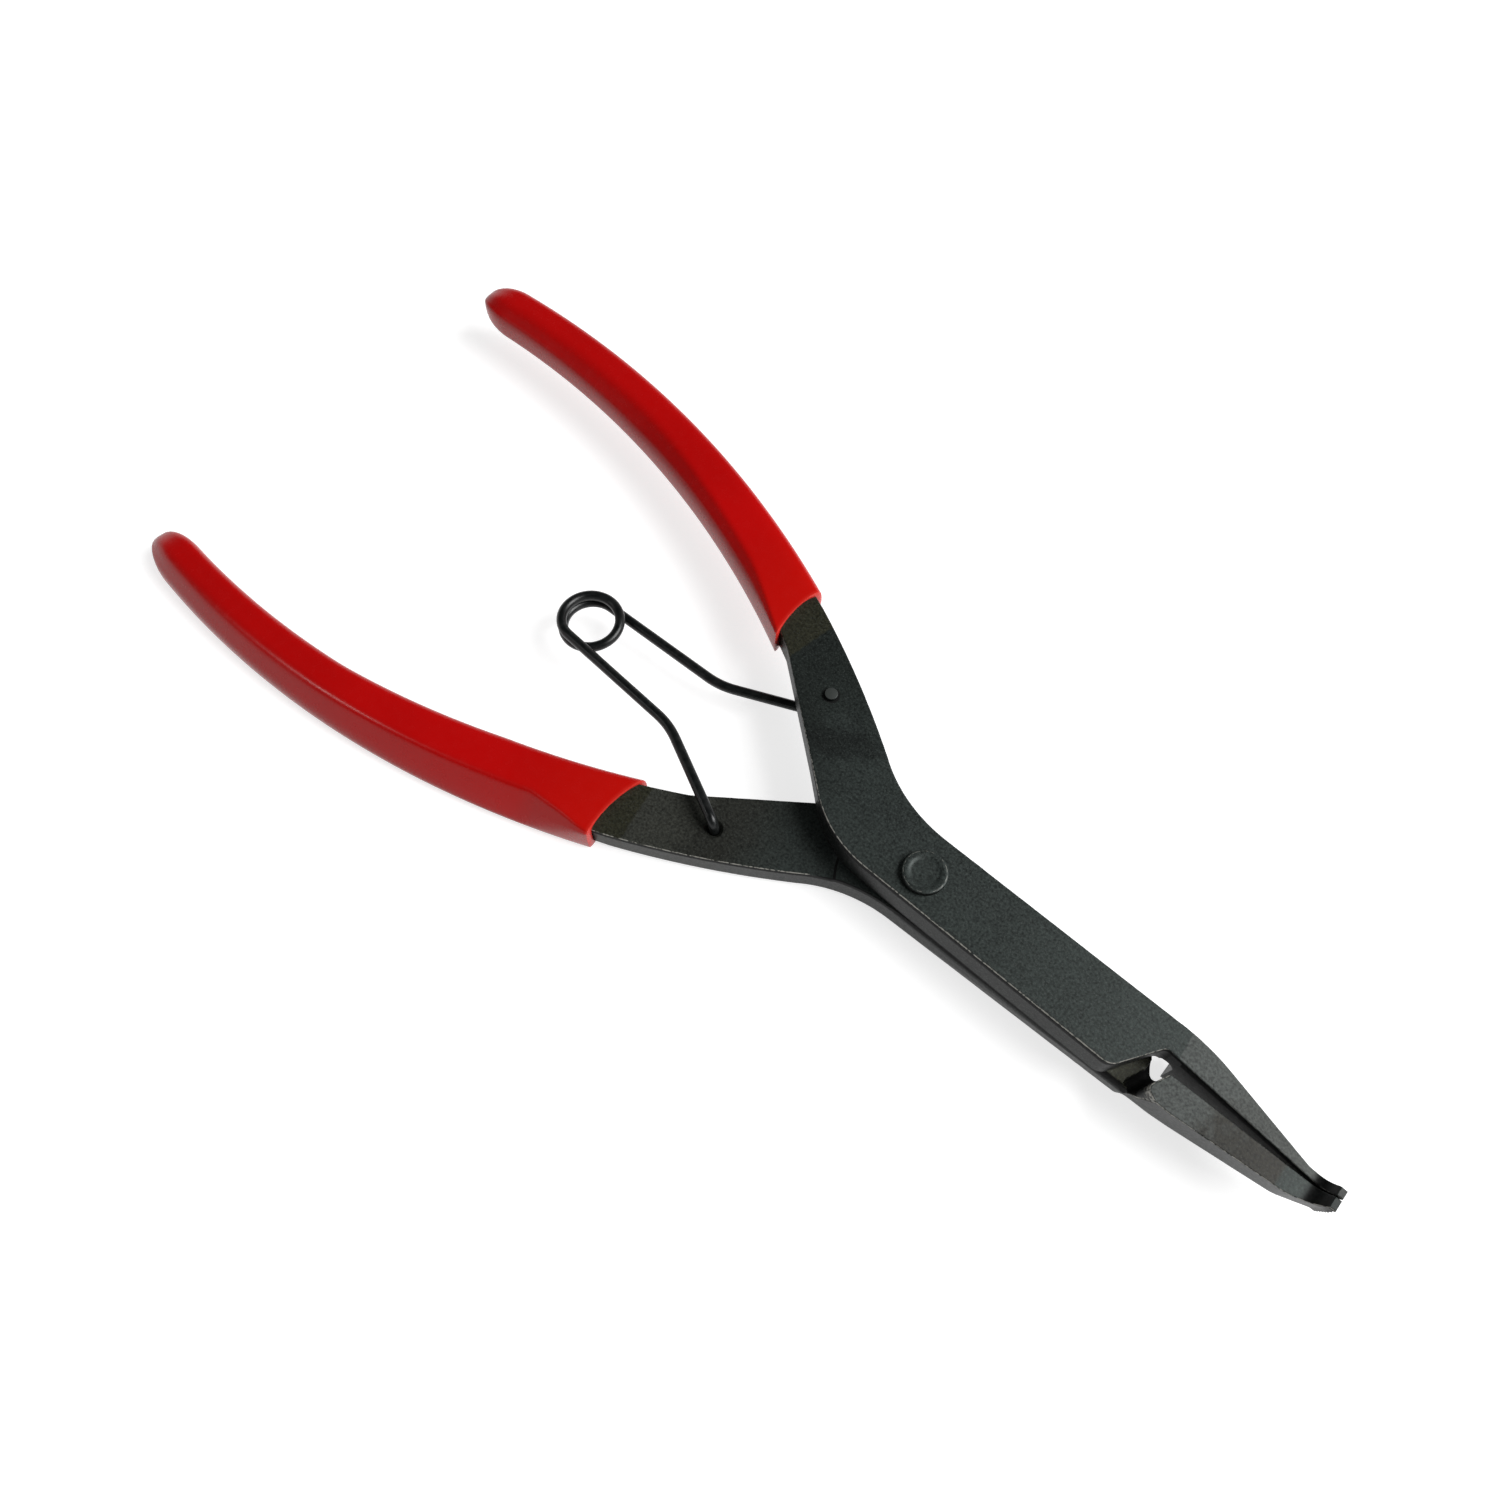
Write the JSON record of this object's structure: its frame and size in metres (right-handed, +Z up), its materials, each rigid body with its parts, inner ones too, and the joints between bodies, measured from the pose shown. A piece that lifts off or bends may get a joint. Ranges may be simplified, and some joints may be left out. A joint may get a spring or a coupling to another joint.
{
  "type": "circlip pliers",
  "caption": "Long-handled circlip pliers with turned-up tips, a lap joint on a flat rivet, a torsion return spring and dipped red grips; squeezing the handles spreads the tips.",
  "frame": {"origin": "on the rivet's axis, at the underside of its lower head, which is the face the pliers lie on", "axes": "+X along the nose to the tips, +Y toward the upper member's side, +Z up the rivet's axis, the way the tips turn up"},
  "size_m": [0.2317, 0.0972, 0.0141],
  "materials": {
    "lower_member": "black oxide, fine forged grain",
    "upper_member": "black oxide, fine forged grain",
    "pivot_rivet": "black oxide, turned face",
    "grip": "satin dipped vinyl",
    "spring": "black oiled wire"
  },
  "bodies": {
    "lower": {"lower_member": "lower_member", "lower_grip": "grip", "pivot_rivet": "pivot_rivet"},
    "upper": {"upper_member": "upper_member", "upper_grip": "grip"},
    "spring_lower": {"spring_lower_half": "spring"},
    "spring_upper": {"spring_upper_half": "spring"}
  },
  "joints": [
    {"name": "handle_pivot", "type": "hinge", "parent": "lower", "child": "upper", "pos_m": [0, 0, 0.00655], "axis": [0, 0, 1], "range_deg": [0, 24], "stiffness_Nm_per_rad": 0.8, "springref_deg": -14.32},
    {"name": "spring_lower_swing", "type": "hinge", "parent": "lower", "child": "spring_lower", "pos_m": [-0.0325, -0.0153, 0.0035], "axis": [0, 0, 1], "range_deg": [0, 20.8]},
    {"name": "spring_upper_swing", "type": "hinge", "parent": "upper", "child": "spring_upper", "pos_m": [-0.0325, 0.0153, 0.0095], "axis": [0, 0, 1], "range_deg": [-20.8, 0]}
  ],
  "couplings": [
    {"joint": "spring_lower_swing", "follows": "handle_pivot", "ratio": 0.864},
    {"joint": "spring_upper_swing", "follows": "handle_pivot", "ratio": -0.864}
  ]
}
